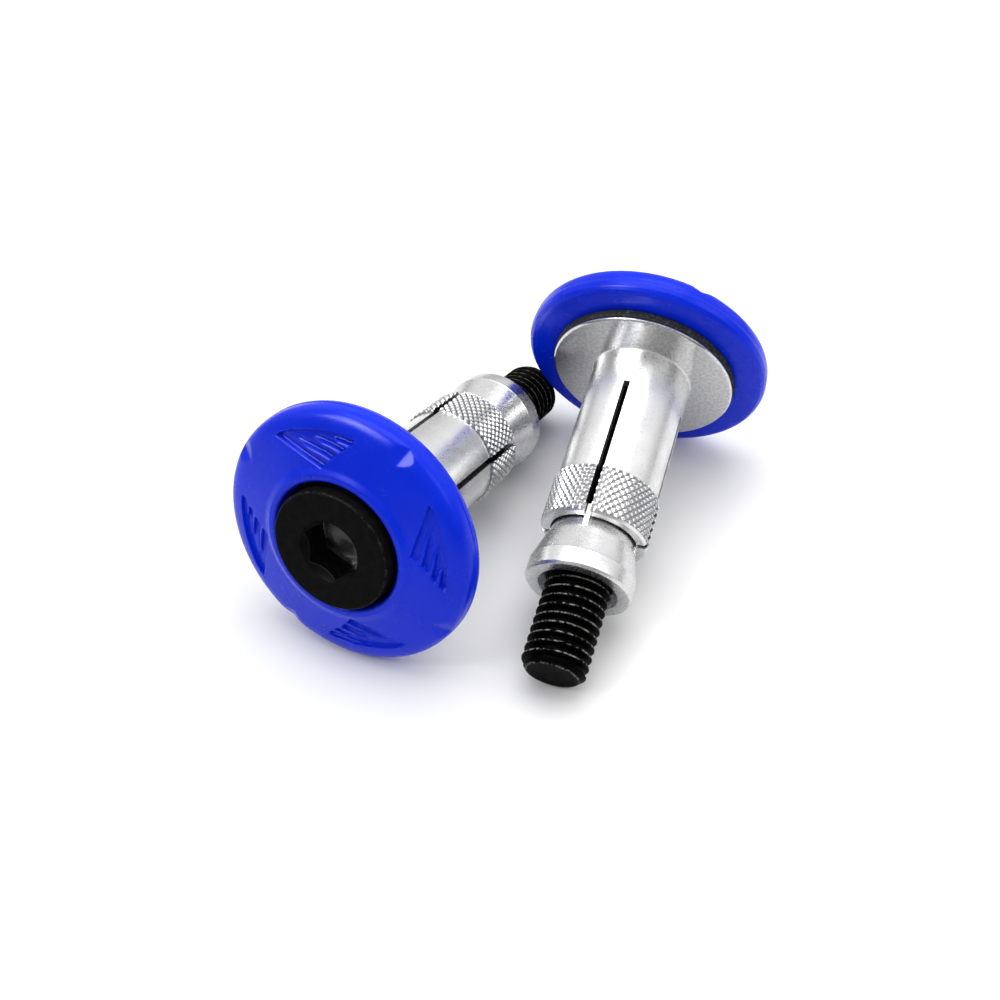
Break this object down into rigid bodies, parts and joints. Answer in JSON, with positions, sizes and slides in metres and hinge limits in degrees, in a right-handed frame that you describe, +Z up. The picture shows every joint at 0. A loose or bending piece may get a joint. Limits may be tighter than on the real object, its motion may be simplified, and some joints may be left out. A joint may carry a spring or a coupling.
{
  "type": "bar end plugs",
  "caption": "Handlebar end plugs: blue moulded end discs on slotted, knurled expander sleeves, drawn tight by socket bolts and cone nuts.",
  "frame": {"origin": "centre of the pair's footprint on the surface the plugs lie on", "axes": "+Z up; +Y away from a viewer who sees the left plug's face; +X to that viewer's right"},
  "size_m": [0.0814, 0.0674, 0.039],
  "materials": {
    "blue_nylon": "moulded, satin gloss",
    "black_steel": "black, matte",
    "black_rubber": "matte, fine grain",
    "turned_aluminium": "turned, bright; knurled band",
    "polished_aluminium": "turned and polished",
    "black_oxide_steel": "black oxide, satin"
  },
  "bodies": {
    "left_plug": {"end_cap_left": "blue_nylon", "head_washer_left": "black_steel", "rubber_washer_left": "black_rubber", "expander_sleeve_left": "turned_aluminium"},
    "left_bolt": {"bolt_left": "black_oxide_steel"},
    "left_nut": {"cone_nut_left": "polished_aluminium"},
    "right_plug": {"end_cap_right": "blue_nylon", "head_washer_right": "black_steel", "rubber_washer_right": "black_rubber", "expander_sleeve_right": "turned_aluminium"},
    "right_bolt": {"bolt_right": "black_oxide_steel"},
    "right_nut": {"cone_nut_right": "polished_aluminium"}
  },
  "joints": [
    {"name": "left_bolt_turn", "type": "hinge", "parent": "left_plug", "child": "left_bolt", "pos_m": [-0.02044, -0.01531, 0.01846], "axis": [0.4122, 0.8739, -0.2576], "range_deg": [-432, 264]},
    {"name": "left_nut_travel", "type": "slide", "parent": "left_plug", "child": "left_nut", "axis": [0.4122, 0.8739, -0.2576], "range_m": [-0.00111, 0.00181]},
    {"name": "right_plug_lift", "type": "slide", "parent": "left_plug", "child": "right_plug", "axis": [0, 0, 1], "range_m": [0, 0.1]},
    {"name": "right_bolt_turn", "type": "hinge", "parent": "right_plug", "child": "right_bolt", "pos_m": [0.02015, 0.01796, 0.01846], "axis": [-0.2525, -0.9327, -0.2576], "range_deg": [-432, 264]},
    {"name": "right_nut_travel", "type": "slide", "parent": "right_plug", "child": "right_nut", "axis": [-0.2525, -0.9327, -0.2576], "range_m": [-0.00111, 0.00181]}
  ],
  "couplings": [
    {"joint": "left_nut_travel", "follows": "left_bolt_turn", "m_per_rad": -0.00023873},
    {"joint": "right_nut_travel", "follows": "right_bolt_turn", "m_per_rad": -0.00023873}
  ]
}
